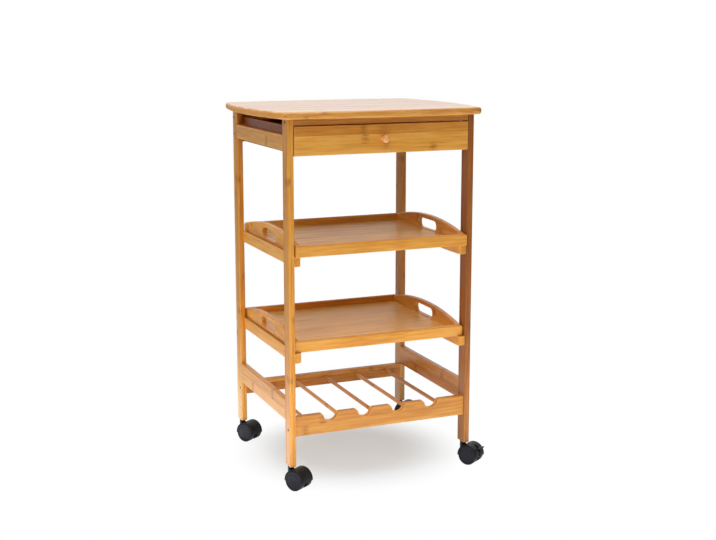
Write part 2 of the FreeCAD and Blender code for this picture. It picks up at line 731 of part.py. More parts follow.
# Two like trays: low front and back walls, arched ends with a hand hole, and a panel in grooves
for level in ("upper", "lower"):
    tray_z = f"{level}_runner_top"
    tray_y = f"{level}_tray_front"
    groove_z = "tray_panel_rise - panel_clear"
    for end in ("front", "back"):
        wall_y = tray_y if end == "front" else f"{tray_y} + tray_depth - tray_wall_thick"
        wall = new_body(f"tray_{level}_{end}")
        strip = sawn_blank(wall, "2 * tray_half", "tray_wall_thick", "tray_wall_high")
        middle_z = size("tray_wall_high") / 2
        crosswise = runs_along(Y_AXIS)
        lengthwise = runs_along(X_AXIS)
        strip = fillet(
            wall,
            strip,
            lambda edge: crosswise(edge) and edge.CenterOfMass.z > middle_z,
            "RoundedCorners",
            "tray_corner_radius",
        )
        strip = fillet(
            wall,
            strip,
            lambda edge: lengthwise(edge) and edge.CenterOfMass.z > middle_z,
            "RoundedRim",
            "tray_rim_radius",
        )
        fillet(
            wall,
            strip,
            lambda edge: lengthwise(edge) and edge.CenterOfMass.z < middle_z,
            "Ease",
            "wood_ease",
        )
        groove_y = "tray_wall_thick - tray_groove_deep" if end == "front" else "0 - overrun"
        block(
            wall,
            "PanelGroove",
            "2 * (tray_end_face + tray_groove_deep)",
            "tray_groove_deep + overrun",
            "tray_slot_high",
            ("tray_half - tray_end_face - tray_groove_deep", groove_y, groove_z),
        )
        place(wall, ("0 - tray_half", wall_y, tray_z))
    for side in ("left", "right"):
        left = side == "left"
        arched = new_body(f"tray_{level}_end_{side}")
        outline = new_sketch(arched, "YZ_Plane", "Outline")
        end_long = size("tray_end_long")
        end_low = size("tray_wall_high")
        end_high = end_low + size("tray_end_rise")
        sill = lines_through([(0, 0), (end_long, 0), (end_long, end_low), (0, end_low)])
        arch = Part.Arc(Vector(end_long, end_low), Vector(end_long / 2, end_high), Vector(0, end_low))
        closed_outline(outline, [sill[0], sill[1], arch, sill[3]])
        outline.addConstraint(Sketcher.Constraint("Coincident", 0, 1, -1, 1))
        outline.addConstraint(Sketcher.Constraint("Horizontal", 0))
        outline.addConstraint(Sketcher.Constraint("Vertical", 1))
        outline.addConstraint(Sketcher.Constraint("Vertical", 3))
        outline.addConstraint(Sketcher.Constraint("Equal", 1, 3))
        drive(outline, "DistanceX", (0, 1, 0, 2), "tray_end_long", end_long)
        drive(outline, "DistanceY", (1, 1, 1, 2), "tray_wall_high", end_low)
        drive(outline, "Radius", (2,), "tray_end_arc", size("tray_end_arc"))
        cheek = pad(arched, outline, "Cheek", "tray_end_thick")
        fillet(
            arched,
            cheek,
            lambda edge: isinstance(edge.Curve, Part.Circle),
            "Ease",
            "wood_ease",
        )
        hole_y = "tray_end_long / 2 - tray_hole_straight / 2"
        hole_wide = "tray_end_thick + 2 * overrun"
        hole_at = ("0 - overrun", hole_y, "tray_hole_mid - tray_hole_radius")
        block(arched, "HandHole", hole_wide, "tray_hole_straight", "tray_hole_high", hole_at)
        for hole_end in (hole_y, f"{hole_y} + tray_hole_straight"):
            end_at = ("0 - overrun", hole_end, "tray_hole_mid")
            round_bar(arched, "HandHoleEnd", "tray_hole_radius", hole_wide, end_at, X_AXIS)
        groove_x = "tray_end_thick - tray_groove_deep" if left else "0 - overrun"
        block(
            arched,
            "PanelGroove",
            "tray_groove_deep + overrun",
            "tray_end_long + 2 * overrun",
            "tray_slot_high",
            (groove_x, "0 - overrun", groove_z),
        )
        end_x = "0 - tray_end_face - tray_end_thick" if left else "tray_end_face"
        place(arched, (end_x, f"{tray_y} + tray_wall_thick", tray_z))
    board(
        f"tray_{level}_panel",
        "2 * (tray_end_face + tray_tongue)",
        "tray_end_long + 2 * tray_tongue",
        "tray_panel_thick",
        (
            "0 - tray_end_face - tray_tongue",
            f"{tray_y} + tray_wall_thick - tray_tongue",
            f"{tray_z} + tray_panel_rise",
        ),
        X_AXIS,
        "panel_clear",
    )


# Castors: each is drawn with its stem's axis upright on its own origin and its wheels trailing along +X
castor_turn = Rotation(Z_AXIS, size("castor_yaw_degrees"))


def castor_body(label, way_x, way_y, listed=True):
    """A body in a castor's own frame, set under its leg."""
    body = new_body(label) if listed else doc.addObject("PartDesign::Body", label)
    body.Placement = Placement(Vector(), castor_turn)
    place(body, (f"{way_x} * leg_mid_x", f"{way_y} * leg_mid_y", "0"))
    return body


def across(body, name, radius, long, middle, kind):
    """A round bar or bore along the axle's direction, centred on a point above the trail line."""
    at = (middle[0], f"0 - ({long}) / 2", middle[1])
    return round_bar(body, name, radius, long, at, Y_AXIS, kind)


AXLE = ("castor_trail", "wheel_radius")
LEVER_PIVOT = ("lever_pivot_x", "lever_pivot_z")


def hood(label, way_x, way_y, braked):
    """The moulded hood: an arch over both wheels, a web between them, and the boss for the stem."""
    body = castor_body(label, way_x, way_y)
    across(body, "Arch", "hood_radius", "hood_wide", AXLE, ADDING)
    below_wide = "2 * hood_radius + 2 * overrun"
    below_at = (
        "castor_trail - hood_radius - overrun",
        "0 - hood_wide / 2 - overrun",
        "wheel_radius - hood_radius - overrun",
    )
    below_high = "hood_radius + overrun - hood_skirt"
    arch = block(body, "Open", below_wide, "hood_wide + 2 * overrun", below_high, below_at)
    doc.recompute()
    outer = size("hood_radius")
    fillet(
        body,
        arch,
        lambda edge: isinstance(edge.Curve, Part.Circle) and abs(edge.Curve.Radius - outer) < 1e-6,
        "Ease",
        "hood_ease",
    )
    boss_at = ("0", "0", "wheel_radius")
    round_bar(body, "Boss", "boss_radius", "boss_top - wheel_radius", boss_at, Z_AXIS, ADDING)
    well_deep = "(hood_wide - web_thick) / 2 + overrun"
    for flank, towards in (("web_thick / 2", Y_AXIS), ("0 - web_thick / 2", -Y_AXIS)):
        well_at = ("castor_trail", flank, "wheel_radius")
        round_bar(body, "WheelWell", "wheel_well", well_deep, well_at, towards)
    across(body, "Hub", "hub_radius", "web_thick", AXLE, ADDING)
    across(body, "AxleBore", "axle_radius", "web_thick + 2 * overrun", AXLE, CUTTING)
    stem_bore = "stem_in_hood + collar_gap"
    bore_at = ("0", "0", "boss_top")
    round_bar(body, "StemBore", "stem_radius + running_clear", stem_bore, bore_at, -Z_AXIS)
    if braked:
        slot_at = (
            "lever_pivot_x - lever_eye_radius - 2 * lever_clear",
            "0 - lever_slot / 2",
            "wheel_radius - hood_skirt - overrun",
        )
        block(body, "LeverSlot", "hood_radius", "lever_slot", "hood_radius + hood_skirt", slot_at)
        pivot = "trunnion_radius + running_clear"
        across(body, "PivotBore", pivot, "web_thick + 2 * overrun", LEVER_PIVOT, CUTTING)
    return body


def wheel(label, way_x, way_y, hand):
    """One wheel turned about the axle: a rounded tyre, and a crowned cap inside a ring groove."""
    body = castor_body(label, way_x, way_y)
    section = new_sketch(body, "YZ_Plane", "Section")
    bind(section, "AttachmentOffset.Base.z", "castor_trail")
    bind(section, "AttachmentOffset.Base.y", "wheel_radius")
    inner = size("wheel_inner")
    face = inner + size("wheel_wide")
    radius = size("wheel_radius")
    edge = size("wheel_edge_radius")
    cap = size("cap_radius")
    ring = cap + size("cap_groove_wide")
    floor = face - size("cap_groove_deep")
    crown = face + size("cap_crown")
    half_crown = face + crown_height(cap, size("cap_crown"), cap / 2)
    hole = size("axle_radius") + size("running_clear")
    seat = inner + size("axle_in_wheel") + size("wheel_gap")
    rounding = edge * (1 - math.sqrt(0.5))
    bend = (face - rounding, radius - rounding)

    def spot(across_wheel, out):
        return Vector(hand * across_wheel, out, 0)

    curves = [
        Part.LineSegment(spot(inner, hole), spot(inner, radius - edge / 2)),
        Part.LineSegment(spot(inner, radius - edge / 2), spot(inner + edge / 2, radius)),
        Part.LineSegment(spot(inner + edge / 2, radius), spot(face - edge, radius)),
        Part.Arc(spot(face - edge, radius), spot(*bend), spot(face, radius - edge)),
        Part.LineSegment(spot(face, radius - edge), spot(face, ring)),
        Part.LineSegment(spot(face, ring), spot(floor, ring)),
        Part.LineSegment(spot(floor, ring), spot(floor, cap)),
        Part.LineSegment(spot(floor, cap), spot(face, cap)),
        Part.Arc(spot(face, cap), spot(half_crown, cap / 2), spot(crown, 0)),
        Part.LineSegment(spot(crown, 0), spot(seat, 0)),
        Part.LineSegment(spot(seat, 0), spot(seat, hole)),
        Part.LineSegment(spot(seat, hole), spot(inner, hole)),
    ]
    closed_outline(section, curves)
    tyre = body.newObject("PartDesign::Revolution", "Turned")
    tyre.Profile = section
    tyre.ReferenceAxis = (section, ["H_Axis"])
    return body


def brake_lever(label, way_x, way_y):
    """The foot lever of a brake: an arm on two trunnions in the web, with a wide pedal outside."""
    body = castor_body(label, way_x, way_y)
    eye = size("lever_eye_radius")
    rise = size("pedal_up")
    thick = size("pedal_thick")
    near = size("pedal_in")
    tip = size("pedal_out")
    tip_rise = rise + size("pedal_lift")
    toe = size("toe_out")
    toe_low = -size("toe_down")
    toe_high = toe_low + size("toe_thick")
    across(body, "Eye", "lever_eye_radius", "lever_thick", LEVER_PIVOT, ADDING)
    rocker = [(0, -eye), (toe, toe_low), (toe, toe_high), (eye, 0), (near + thick, rise)]
    rocker += [(near + thick, rise + thick), (near, rise + thick), (0, eye)]
    treadle = [(near, rise), (tip - thick / 2, tip_rise), (tip, tip_rise + thick / 2)]
    treadle += [(tip - thick / 2, tip_rise + thick), (near, rise + thick)]
    for name, outline, wide in (("Rocker", rocker, "lever_thick"), ("Pedal", treadle, "pedal_wide")):
        side = new_sketch(body, "XZ_Plane", name + "Outline")
        bind(side, "AttachmentOffset.Base.x", "lever_pivot_x")
        bind(side, "AttachmentOffset.Base.y", "lever_pivot_z")
        closed_outline(side, lines_through(outline))
        pad(body, side, name, wide, symmetric=True)
    across(body, "Trunnion", "trunnion_radius", "trunnion_long", LEVER_PIVOT, ADDING)
    return body


stems = []
for end, way_y in (("front", -1), ("back", 1)):
    for side, way_x in (("left", -1), ("right", 1)):
        corner = f"castor_{end}_{side}"
        braked = side == "right"
        stem = castor_body("stem", way_x, way_y, listed=False)
        foot_at = ("0", "0", "boss_top - stem_in_hood")
        stem_long = "stem_in_hood + collar_gap + collar_high + stem_in_leg"
        round_bar(stem, "Pin", "stem_radius", stem_long, foot_at, Z_AXIS, ADDING)
        collar_at = ("0", "0", "castor_high - collar_high")
        round_bar(stem, "Collar", "collar_radius", "collar_high", collar_at, Z_AXIS, ADDING)
        stems.append(stem)
        hood(f"{corner}_hood", way_x, way_y, braked)
        axle = castor_body(f"{corner}_axle", way_x, way_y)
        across(axle, "Pin", "axle_radius", "axle_long", AXLE, ADDING)
        wheel(f"{corner}_wheel_near", way_x, way_y, -1)
        wheel(f"{corner}_wheel_far", way_x, way_y, 1)
        if braked:
            brake_lever(f"{corner}_brake", way_x, way_y)
group("castor_stems", stems)

# Every feature has to be sound before anything is written
doc.recompute()
for thing in doc.Objects:
    if "Invalid" in thing.State or "Error" in thing.State:
        raise RuntimeError(f"{thing.Name} ({thing.Label}) failed: {thing.State}")
for node in nodes:
    if node.Shape.isNull() or not node.Shape.isValid() or not node.Shape.Solids:
        raise RuntimeError(f"{node.Label} has no sound shape")

os.makedirs("parts", exist_ok=True)
for node in nodes:
    node.Shape.exportStep(f"parts/{node.Label}.step")
print(f"{len(nodes)} nodes, {sum(len(node.Shape.Solids) for node in nodes)} solids")
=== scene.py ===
"""Looks of a bamboo serving cart: lacquered strip bamboo, a turned knob, steel screws and black castors."""
import math

import bmesh
import bpy
from mathutils import Matrix, Vector


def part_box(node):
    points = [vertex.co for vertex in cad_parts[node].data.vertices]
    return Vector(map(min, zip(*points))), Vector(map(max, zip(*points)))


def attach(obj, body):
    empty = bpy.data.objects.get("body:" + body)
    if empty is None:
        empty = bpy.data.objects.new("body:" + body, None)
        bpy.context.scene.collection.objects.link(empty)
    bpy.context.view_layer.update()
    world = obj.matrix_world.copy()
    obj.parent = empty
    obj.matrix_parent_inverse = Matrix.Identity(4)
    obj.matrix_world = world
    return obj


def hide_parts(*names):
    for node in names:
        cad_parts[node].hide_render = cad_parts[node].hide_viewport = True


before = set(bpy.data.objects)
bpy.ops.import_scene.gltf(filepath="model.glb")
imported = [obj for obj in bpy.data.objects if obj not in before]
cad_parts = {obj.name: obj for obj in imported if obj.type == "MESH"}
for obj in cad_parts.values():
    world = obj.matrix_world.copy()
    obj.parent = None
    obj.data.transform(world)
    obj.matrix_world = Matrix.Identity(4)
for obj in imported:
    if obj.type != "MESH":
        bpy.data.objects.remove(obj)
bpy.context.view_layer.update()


# Legs: four flat upright boards, glued from two layers of bamboo strips, planed, eased and clear lacquered.
# The strips run the length of the leg, and the seam between the layers shows on each narrow face.
# The front leg on the right was cut from the darkest cane, and the one behind it from a middling one. Three
# legs are paler towards the foot, partly painted light from the bright floor.
class Socket:
    """One output of a shader node. Sums and products with it add Math nodes to its tree."""

    def __init__(self, tree, output=None):
        self.tree = tree
        self.output = output

    def new(self, kind, settings=None, inputs=None, output=0):
        """Adds a node, sets what it is, fills or links its sockets, and gives back one output."""
        node = self.tree.nodes.new("ShaderNode" + kind)
        for name, setting in (settings or {}).items():
            if name == "stops":
                stops = node.color_ramp.elements
                stops[0].position, stops[0].color = setting[0]
                stops[1].position, stops[1].color = setting[-1]
                for position, colour in setting[1:-1]:
                    stops.new(position).color = colour
            else:
                setattr(node, name, setting)
        for name, value in (inputs or {}).items():
            if isinstance(value, Socket):
                self.tree.links.new(value.output, node.inputs[name])
            else:
                node.inputs[name].default_value = value
        return Socket(self.tree, node.outputs[output])

    def other(self, output):
        """Another output of the same node."""
        return Socket(self.tree, self.output.node.outputs[output])

    def into(self, shader, name):
        """Links this output to a socket of a shader."""
        self.tree.links.new(self.output, shader.inputs[name])

    def math(self, operation, *values):
        return self.new("Math", {"operation": operation}, dict(enumerate((self, *values))))

    def __add__(self, value):
        return self.math("ADD", value)

    def __sub__(self, value):
        return self.math("SUBTRACT", value)

    def __rsub__(self, value):
        return self.new("Math", {"operation": "SUBTRACT"}, {0: value, 1: self})

    def __mul__(self, value):
        return self.math("MULTIPLY", value)

    def __truediv__(self, value):
        return self.math("DIVIDE", value)

    def __abs__(self):
        return self.math("ABSOLUTE")

    __radd__ = __add__
    __rmul__ = __mul__

    def fade(self, low, high):
        """1 below the low value, 0 above the high one, and smooth between."""
        limits = {"Value": self, "From Min": low, "From Max": high, "To Min": 1.0, "To Max": 0.0}
        return self.new("MapRange", {"interpolation_type": "SMOOTHSTEP"}, limits)

    def mix(self, first, second):
        """A colour that goes from the first to the second as this value goes from 0 to 1."""
        return self.new("Mix", {"data_type": "RGBA"}, {0: self, 6: first, 7: second}, output=2)


def srgb(red, green, blue):
    """A colour as a picture's pixel gives it, 0 to 255, as the linear colour that a shader takes."""
    steps = [channel / 255 for channel in (red, green, blue)]
    return (*[c / 12.92 if c <= 0.04045 else ((c + 0.055) / 1.055) ** 2.4 for c in steps], 1.0)


def new_material(name):
    """An empty material, its shader node and a socket to build from."""
    material = bpy.data.materials.new(name)
    material.use_nodes = True
    shader = material.node_tree.nodes["Principled BSDF"]
    return material, shader, Socket(material.node_tree)


def finish_with(node_names, material):
    """Gives a material to nodes that keep the shape they have."""
    for name in node_names:
        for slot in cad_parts[name].material_slots:
            slot.material = material


def outer_edges(tree, reach):
    """1 on the eased outer edges of a piece, fading to 0 a little way in from them."""
    settings = {"inside": True, "only_local": True, "samples": 6}
    return 1 - tree.new("AmbientOcclusion", settings, {"Distance": reach}, output="AO")


def bamboo(name, grain, strip, start, tones, marks=None, lacquer=0.30, flooded=0.0, paler_foot=0.0):
    """Strip bamboo with its grain along one axis, and strips of a size counted from a corner of the board.

    Each strip has a tone of its own between the deep, middle and pale tones. Brown marks of the cane's joints
    come at chance places, or only at given ones: the number of the strip, and the place along the grain.
    A board that was flooded with lacquer has a thicker coat on the face that looks up. An upright board may
    be
    paler towards its foot: partly painted light from the bright floor, and partly the cane's own paler lower
    end.
    """
    material, shader, tree = new_material(name)
    here = tree.new("TexCoord", output="Object")
    faces = tree.new("SeparateXYZ", None, {"Vector": here.other("Normal")})
    facing = faces.other(grain)
    split = tree.new("SeparateXYZ", None, {"Vector": here})
    run = split.other(grain)
    across = [split.other(axis) for axis in "XYZ" if axis != grain]
    counts = [(place - begin) / wide for place, wide, begin in zip(across, strip, start)]
    cells = [count.math("FLOOR") for count in counts]
    cell = tree.new("CombineXYZ", None, {"X": cells[0], "Y": cells[1]})
    chance = tree.new("TexWhiteNoise", {"noise_dimensions": "3D"}, {"Vector": cell}, output="Color")
    tone = tree.new("SeparateColor", None, {"Color": chance})
    shift = tone.other("Green")
    length = tone.other("Blue")

    def cane(along, over, detail):
        """Noise drawn out along the grain, different in each strip."""
        spots = {"X": run * along + shift * 37, "Y": across[0] * over, "Z": across[1] * over}
        spread = tree.new("CombineXYZ", None, spots)
        return tree.new("TexNoise", None, {"Vector": spread, "Scale": 1.0, "Detail": detail})

    streak = cane(along=14, over=260, detail=4.0)
    cloud = cane(along=3, over=60, detail=2.0)
    fibre = cane(along=40, over=1700, detail=2.0)
    dashes = cane(along=130, over=2600, detail=1.0).fade(0.30, 0.44)
    wobble = (cane(along=3, over=170, detail=2.0) - 0.5) * 0.010
    if marks is None:
        pitch = length * 0.14 + 0.27
        joint = abs(((run / pitch + shift * 9).math("FRACT") - 0.5) * pitch + wobble)
    else:
        joint = abs(wobble) + 1
        for number, spot in marks:
            joint = joint.math("MINIMUM", abs(run - spot + wobble) + abs(cells[1] - number))
    ragged = cane(along=30, over=420, detail=3.0).fade(0.40, 0.62)
    smear = joint.fade(0.0015, 0.0120) * (0.25 + 0.75 * ragged)
    ridge = joint.fade(0.0002, 0.0013)
    seams = [(0.5 - abs(count.math("FRACT") - 0.5)) * wide for count, wide in zip(counts, strip)]
    seam = seams[0].math("MINIMUM", seams[1]).fade(0.0001, 0.0005)
    edge = outer_edges(tree, reach=0.0030)
    deep, middle, pale = tones
    shade = tone * 0.40 + streak * 0.70 + fibre * 0.28 + cloud * 0.36 - 0.36
    if paler_foot:
        # Painted light, partly: paler towards the foot for the light of the bright floor, and partly for the
        # cane's paler lower end.
        shade = shade + paler_foot * run.fade(0.06, 0.30)
    colour = tree.new("ValToRGB", {"stops": [(0.30, deep), (0.55, middle), (0.84, pale)]}, {"Fac": shade})
    colour = (dashes * 0.22).mix(colour, deep)
    colour = (smear * 0.70).mix(colour, srgb(156, 88, 24))
    colour = (ridge * 0.18).mix(colour, srgb(118, 64, 22))
    colour = (seam * 0.26).mix(colour, srgb(124, 72, 26))
    pores = cane(along=0, over=1500, detail=1.0).fade(0.36, 0.50)
    end = 1 - abs(facing).fade(0.80, 0.96)
    colour = end.mix(colour, (pores * 0.45).mix(middle, srgb(116, 66, 24)))
    # Painted highlight, partly: the eased edges are mixed towards the pale tone for the light that their
    # rounding catches, and partly for the paler wood of worn edges.
    colour = (edge * 0.65).mix(colour, pale)
    colour.into(shader, "Base Color")
    (0.36 + 0.14 * streak + 0.08 * dashes + 0.10 * smear + 0.22 * end + 0.10 * edge).into(shader, "Roughness")
    coat = lacquer + flooded * (1 - faces.other("Z").fade(0.5, 0.9))
    (coat * (0.55 + 0.9 * cloud)).into(shader, "Coat Weight")
    height = fibre * 0.5 + streak * 0.3 + ridge * 0.5 - dashes * 0.3 - seam
    bump = tree.new("Bump", None, {"Strength": 0.22, "Distance": 0.0003, "Height": height})
    bump.into(shader, "Normal")
    shader.inputs["Coat Roughness"].default_value = 0.22
    shader.inputs["Specular IOR Level"].default_value = 0.36
    return material


honey = (srgb(190, 114, 32), srgb(222, 150, 54), srgb(240, 184, 94))
bright = (srgb(200, 124, 40), srgb(232, 162, 64), srgb(246, 192, 104))
chestnut = (srgb(138, 76, 22), srgb(180, 112, 42), srgb(208, 146, 72))
walnut = (srgb(116, 58, 14), srgb(152, 86, 26), srgb(182, 116, 48))
amber = (srgb(170, 104, 34), srgb(204, 138, 56), srgb(228, 170, 92))
leg_strip = (0.0066, 0.0200)
finish_with(
    ["leg_front_left"],
    bamboo("leg_bamboo_front_left", "Z", strip=leg_strip, start=(-0.2001, -0.1765), tones=honey),
)
finish_with(
    ["leg_back_left"],
    bamboo("leg_bamboo_back_left", "Z", strip=leg_strip, start=(-0.2001, -0.1765), tones=honey, paler_foot=0.20),
)
finish_with(
    ["leg_front_right"],
    bamboo("leg_bamboo_front_right", "Z", strip=leg_strip, start=(0.1869, -0.1765), tones=walnut, paler_foot=0.30),
)
finish_with(
    ["leg_back_right"],
    bamboo("leg_bamboo_back_right", "Z", strip=leg_strip, start=(0.1869, 0.1455), tones=amber, paler_foot=0.60),
)


# Side rails: an apron under the top and a foot rail beside the bottle rack, butted between the legs.
# They are lacquered strip bamboo like the legs, with the strips lying along the cart's depth.
# The aprons take the palest tones: painted light, against the shade that the top casts on them.
rail_strip = (0.0066, 0.0210)
apron_tones = (srgb(216, 140, 54), srgb(246, 182, 84), srgb(254, 210, 126))
apron_marks = [(1, -0.051)]
apron_start = (-0.2001, 0.6535)
finish_with(
    ["apron_left", "apron_right"],
    bamboo("apron_bamboo", "Y", rail_strip, apron_start, tones=apron_tones, marks=apron_marks),
)
foot_marks = [(1, -0.070), (0, 0.062)]
foot_start = (-0.2001, 0.1355)
finish_with(
    ["foot_rail_left", "foot_rail_right"],
    bamboo("foot_rail_bamboo", "Y", rail_strip, foot_start, tones=bright, marks=foot_marks),
)


# Cross rails: the thin head rail over the drawer, the panel behind it, and the two rails of the bottle rack.
# Their strips lie across the cart, and each is lacquered and screwed to the legs at both ends.
finish_with(
    ["back_panel", "rack_front_rail", "rack_back_rail"],
    bamboo("cross_rail_bamboo", "X", strip=(0.0066, 0.0207), start=(-0.1711, 0.1055), tones=honey),
)
# Painted shade: the head rail takes the darker amber tone for the shade under the overhang of the top.
finish_with(
    ["head_rail"],
    bamboo("head_rail_bamboo", "X", strip=(0.0075, 0.0200), start=(-0.1735, 0.7220), tones=amber, marks=()),
)


# Runners and guides: bamboo battens that carry the trays and the drawer.
# Each runner is notched round the two legs of its side and glued, with a low lip beside the tray.
# The guides are plain battens, glued inside the aprons.
battens = [f"tray_runner_{level}_{side}" for level in ("upper", "lower") for side in ("left", "right")]
battens += ["drawer_guide_left", "drawer_guide_right"]
finish_with(
    battens,
    bamboo("batten_bamboo", "Y", strip=(0.0092, 0.02757), start=(-0.1905, 0.2550), tones=honey, marks=()),
)


# Bottle dowels: five rods, each turned from one strip of bamboo and lacquered like the rails.
# They are set in blind holes of the rack's two rails.
finish_with(
    ["rack_dowels"],
    bamboo("dowel_bamboo", "Y", strip=(0.0745, 0.050), start=(-0.18625, 0.100), tones=honey),
)


# Frame screws: ten socket-head screws of blackened steel, driven through the legs into the cross rails.
# Each sits just under the face of its leg, with the hexagon of its socket showing as a dark dot.
def turned_head(mesh, place, rings, sides):
    """Adds a screw made of rings of points about its axis: radius, height and how far towards a hexagon."""
    half_flat = math.pi / 6
    hoops = []
    for radius, height, six in rings:
        hoop = []
        for step in range(sides):
            angle = math.tau * step / sides
            from_middle = (angle + half_flat) % (2 * half_flat) - half_flat
            flat = math.cos(half_flat) / math.cos(from_middle)
            reach = radius * (1 + six * (flat - 1))
            spot = place @ Vector((reach * math.cos(angle), reach * math.sin(angle), height))
            hoop.append(mesh.verts.new(spot))
        hoops.append(hoop)
    for low, high in zip(hoops, hoops[1:]):
        for step in range(sides):
            follow = (step + 1) % sides
            mesh.faces.new((low[step], low[follow], high[follow], high[step]))
    mesh.faces.new(hoops[0][::-1])
    mesh.faces.new(hoops[-1])


def new_piece(name, mesh, material, body):
    """Turns a mesh into a piece of the cart that rides on one of its bodies."""
    bmesh.ops.recalc_face_normals(mesh, faces=mesh.faces)
    data = bpy.data.meshes.new(name)
    mesh.to_mesh(data)
    mesh.free()
    data.materials.append(material)
    piece = bpy.data.objects.new(name, data)
    bpy.context.scene.collection.objects.link(piece)
    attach(piece, body)
    return piece


def metal(name, colour, rough):
    """Steel with a little tarnish in its colour and gloss."""
    material, shader, tree = new_material(name)
    here = tree.new("TexCoord", output="Object")
    tarnish = tree.new("TexNoise", None, {"Vector": here, "Scale": 420.0, "Detail": 3.0})
    (tarnish * 0.5).mix(colour, srgb(120, 116, 110)).into(shader, "Base Color")
    (rough + 0.2 * tarnish).into(shader, "Roughness")
    shader.inputs["Metallic"].default_value = 1.0
    return material


screw_rings = [
    (0.0020, -0.0380, 0.0),
    (0.0020, -0.0020, 0.0),
    (0.0032, -0.0020, 0.0),
    (0.0032, -0.0004, 0.0),
    (0.0028, 0.0, 0.0),
    (0.0017, 0.0, 1.0),
    (0.0016, -0.0014, 1.0),
]
screw_sink = 0.0003
rack_screw_rise = 0.014
screw_sides = 24
# The share of a rail's height at which its screw goes in, or None for the rise of the rack's screws
rail_screws = [
    ("head_rail", 0.5),
    ("back_panel", 0.25),
    ("back_panel", 0.75),
    ("rack_front_rail", None),
    ("rack_back_rail", None),
]
screw_mesh = bmesh.new()
for hand, leg in ((-1, "leg_front_left"), (1, "leg_front_right")):
    outer_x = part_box(leg)[0 if hand < 0 else 1][0] - hand * screw_sink
    outwards = Matrix.Rotation(hand * math.pi / 2, 4, "Y")
    for rail, share in rail_screws:
        low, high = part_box(rail)
        rise = rack_screw_rise if share is None else share * (high[2] - low[2])
        place = Matrix.Translation((outer_x, (low[1] + high[1]) / 2, low[2] + rise))
        turned_head(screw_mesh, place @ outwards, screw_rings, screw_sides)
black_steel = metal("blackened_steel", srgb(62, 58, 54), rough=0.34)
screws = new_piece("frame_screw_set", screw_mesh, black_steel, "frame")
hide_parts("frame_screws")


# Tabletop: a glued panel of strips that run from left to right, its edges bowed and rounded over.
# It lies glued on the legs and rails, and its face has a thicker coat of the same clear lacquer.
table_tones = (srgb(194, 120, 42), srgb(226, 158, 70), srgb(242, 192, 110))
table_strip = (0.0195, 0.0072)
table_start = (-0.2025, 0.7358)
finish_with(
    ["tabletop"],
    bamboo("tabletop_bamboo", "X", table_strip, table_start, tones=table_tones, flooded=0.7),
)


# Drawer: a front of three strips, grooved sides and back behind it, and a thin panel for its bottom.
# The sides run on battens inside the aprons and show, in shade, through the gap under the top; their darkest
# tone is painted shade for that gap.
# The bottoms of the trays are cut from the same thin panel.
drawer_marks = [(2, -0.043), (1, -0.038), (0, 0.1085)]
front_strip = (0.040, 0.0190)
front_start = (-0.230, 0.6648)
finish_with(
    ["drawer_front"],
    bamboo("drawer_front_bamboo", "X", front_strip, front_start, tones=bright, marks=drawer_marks),
)
# Painted shade: the drawer sides take the darkest tone so that they look dark through the gap under the top.
finish_with(
    ["drawer_side_left", "drawer_side_right"],
    bamboo("drawer_side_bamboo", "Y", strip=(0.040, 0.0174), start=(-0.190, 0.6683), tones=walnut),
)
finish_with(
    ["drawer_back"],
    bamboo("drawer_back_bamboo", "X", strip=(0.040, 0.0184), start=(0.110, 0.6775), tones=chestnut),
)
# Painted light: the panels take pale tones to make up for the shade that the trays and top above cast on
# them.
panel_tones = (srgb(204, 138, 62), srgb(246, 198, 112), srgb(254, 226, 154))
panel_strip = (0.400, 0.150)
panel_start = (-0.200, 0.250)
finish_with(
    ["drawer_bottom", "tray_upper_panel", "tray_lower_panel"],
    bamboo("panel_bamboo", "X", panel_strip, panel_start, tones=panel_tones, marks=(), lacquer=0.1),
)


# Knob: turned from a paler wood, with its end grain to the front, and lacquered.
# It is held by a plated steel screw from inside the drawer.
knob_tones = (srgb(226, 150, 82), srgb(244, 180, 108), srgb(252, 200, 134))
finish_with(
    ["drawer_knob"],
    bamboo("knob_wood", "Y", strip=(0.050, 0.050), start=(-0.025, 0.665), tones=knob_tones),
)
finish_with(["knob_screw"], metal("plated_steel", srgb(176, 174, 168), rough=0.28))


# Trays: low front and back walls, arched ends with a hand hole, and a panel held in grooves all round.
# They are lacquered strip bamboo, glued at the corners.
# They rest on the runners by their own weight and lift out by the hand holes.
finish_with(
    [f"tray_{level}_{wall}" for level in ("upper", "lower") for wall in ("front", "back")],
    bamboo("tray_wall_bamboo", "X", strip=(0.040, 0.02757), start=(-0.190, 0.2740), tones=honey, marks=()),
)
finish_with(
    [f"tray_{level}_end_{side}" for level in ("upper", "lower") for side in ("left", "right")],
    bamboo("tray_end_bamboo", "Y", strip=(0.040, 0.021444), start=(-0.190, 0.2755), tones=honey),
)


# Castors: twin wheels under a moulded hood that swivels on a steel stem pressed into the leg.
# Hood, wheels and brake lever are black nylon with the fine grain of the mould.
def nylon(name, colour, rough):
    """Moulded nylon: a fine grain from the mould, paler scuffed edges, and dust in its shade and gloss."""
    material, shader, tree = new_material(name)
    here = tree.new("TexCoord", output="Object")
    grain = tree.new("TexNoise", None, {"Vector": here, "Scale": 2600.0, "Detail": 2.0})
    scuff = tree.new("TexNoise", None, {"Vector": here, "Scale": 90.0, "Detail": 5.0})
    edge = outer_edges(tree, reach=0.0012) * (0.3 + scuff)
    dusty = (scuff.fade(0.38, 0.72) * 0.10).mix(colour, srgb(70, 70, 74))
    (edge * 0.12).mix(dusty, srgb(74, 74, 78)).into(shader, "Base Color")
    (rough + 0.18 * (scuff - 0.5) + 0.10 * grain + 0.08 * edge).into(shader, "Roughness")
    bump = tree.new("Bump", None, {"Strength": 0.18, "Distance": 0.0002, "Height": grain})
    bump.into(shader, "Normal")
    shader.inputs["Specular IOR Level"].default_value = 0.22
    return material


